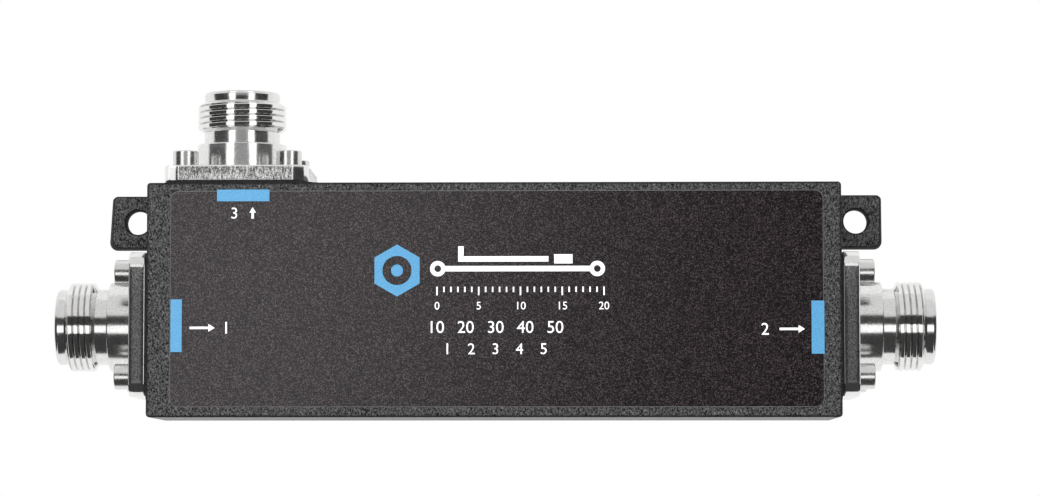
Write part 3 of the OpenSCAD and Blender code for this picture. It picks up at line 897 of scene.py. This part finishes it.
def make_world():
    w = bpy.data.worlds.new("studio")
    scene.world = w
    w.use_nodes = True
    n = Nodes(w.node_tree)
    out = n.add("ShaderNodeOutputWorld")
    direction = n.add("ShaderNodeTexCoord").outputs["Generated"]
    sep = n.add("ShaderNodeSeparateXYZ")
    n.link(direction, sep.inputs[0])
    x, y, z = sep.outputs
    # bright above the part's upper side, dark in front, bright below the horizon
    lift = n.math("SUBTRACT", y, n.math("MULTIPLY", z, 0.1))
    bright = n.span(lift, 0.34, 0.39, 0.0, 1.0, smooth=True)
    studio = n.math("ADD", n.math("MULTIPLY", bright, 0.91), 0.06)
    back, plain, fill = (n.add("ShaderNodeBackground") for _ in range(3))
    n.link(studio, back.inputs["Strength"])
    plain.inputs["Strength"].default_value = 1.05
    fill.inputs["Strength"].default_value = 0.22
    path = n.add("ShaderNodeLightPath").outputs
    mix, soft = n.add("ShaderNodeMixShader"), n.add("ShaderNodeMixShader")
    n.link(path["Is Diffuse Ray"], soft.inputs[0])
    n.link(back.outputs[0], soft.inputs[1])
    n.link(fill.outputs[0], soft.inputs[2])
    n.link(path["Is Camera Ray"], mix.inputs[0])
    n.link(soft.outputs[0], mix.inputs[1])
    n.link(plain.outputs[0], mix.inputs[2])
    n.link(mix.outputs[0], out.inputs[0])


def card(name, place, target, size, radiance, glossy=True, diffuse=False, only=None, roll=0.0):
    """Soft rectangular light facing target; places and sizes in mm."""
    data = bpy.data.lights.new(name, "AREA")
    data.shape = "RECTANGLE"
    data.size, data.size_y = size[0] * MM, size[1] * MM
    data.energy = radiance * math.pi * data.size * data.size_y
    o = bpy.data.objects.new(name, data)
    # the long side stays parallel to Y as far as the aim allows
    w = (Vector(place) - Vector(target)).normalized()
    u = Vector((0, 1, 0)).cross(w).normalized()
    u = Matrix.Rotation(math.radians(roll), 3, w) @ u
    v = w.cross(u)
    o.matrix_world = Matrix((
        (u.x, v.x, w.x, place[0] * MM), (u.y, v.y, w.y, place[1] * MM), (u.z, v.z, w.z, place[2] * MM), (0, 0, 0, 1)))
    scene.collection.objects.link(o)
    o.visible_camera = False
    o.visible_glossy = glossy
    o.visible_diffuse = diffuse
    if only:
        group = bpy.data.collections.new(name + "_lit")
        for other in only:
            group.objects.link(other)
        o.light_linking.receiver_collection = group
    return o


def around(centre, az, el, distance):
    """Point at an azimuth about +Y and an elevation towards +Y, seen from centre along +Z."""
    a, e = math.radians(az), math.radians(el)
    return (centre[0] + distance * math.sin(a) * math.cos(e), centre[1] + distance * math.sin(e),
            centre[2] + distance * math.cos(a) * math.cos(e))


objects = bpy.data.objects
make_floor()
make_world()
label_set = [objects["label_film"], objects["label_print_white"], objects["label_print_blue"]]
card("key", (0, 60, 900), (0, 0, 0), (900, 700), 2.8, glossy=False, diffuse=True)
# soft light from the left: an even sheen on the left half of the label, fading over its middle
card("sheen", (-140, 0, 186), (-140, 0, 26), (260, 320), 2.45, only=label_set, roll=-13.6)
# the white print is lifted to the photo's clean white
card("print_fill", (0, 60, 900), (0, 0, 0), (900, 700), 4.5, glossy=False, diffuse=True, only=[objects["label_print_white"]])
card("side_fill", (-420, -60, 330), (-40, 0, 26), (240, 240), 3.2, glossy=False, diffuse=True, only=[frame["nodes"]["housing"]])


def sector(name, at, az, half_az, el, half_el, level, only):
    """Card that fills a range of directions seen from a point."""
    reach = 420
    card(name, around(at, az, el, reach), at,
         (2 * reach * math.tan(math.radians(half_az)), 2 * reach * math.tan(math.radians(half_el))), level, only=only)


# the tap's upright barrel: two white strips with a low grey one between them
at = (TAP_X, 32.0, 20.0)
lit = [objects["tap_jack_barrel"], objects["tap_flange_screws"]]
sector("strip_left", at, -26.5, 9.8, 6, 33, 1.8, lit)
sector("strip_middle", at, 4.25, 19.0, 6, 10.5, 0.34, lit)
sector("strip_right", at, 33.5, 9.2, 6, 33, 1.8, lit)
lit = [objects["tap_jack_flange"]]
at = (TAP_X, 22.0, 25.0)
sector("rim_tap_front", at, -5.4, 13, 5, 26, 0.92, lit)
sector("rim_tap_left", at, -64, 31, 5, 30, 1.0, lit)
# the end jacks' level barrels: one white strip along them; their flanges' rims are lit apart
for port, side in (("input", -1), ("output", 1)):
    lit = [objects[port + "_jack_barrel"], objects[port + "_flange_screws"]]
    sector("strip_" + port, (side * 14, LINE_Y, 20.0), 0, 31, -8, 10.5, 1.4, lit)
    lit = [objects[port + "_jack_flange"]]
    at = (side * 62, LINE_Y, 25.0)
    front = -7.0 if side < 0 else 4.6
    sector("rim_%s_front" % port, at, front, 16, -4, 15, 0.108 if side < 0 else 0.078, lit)
    sector("rim_%s_upper" % port, at, front, 24, 20, 8, 0.95, lit)
    sector("rim_%s_left" % port, at, front - 46.4, 9, 0, 24, 0.5 if side < 0 else 0.35, lit)
    sector("rim_%s_right" % port, at, front + 46.4, 9, 0, 24, 1.2, lit)

scene.view_settings.view_transform = "Standard"
scene.view_settings.look = "None"
scene.view_settings.exposure = 0.0
scene.view_settings.gamma = 1.0
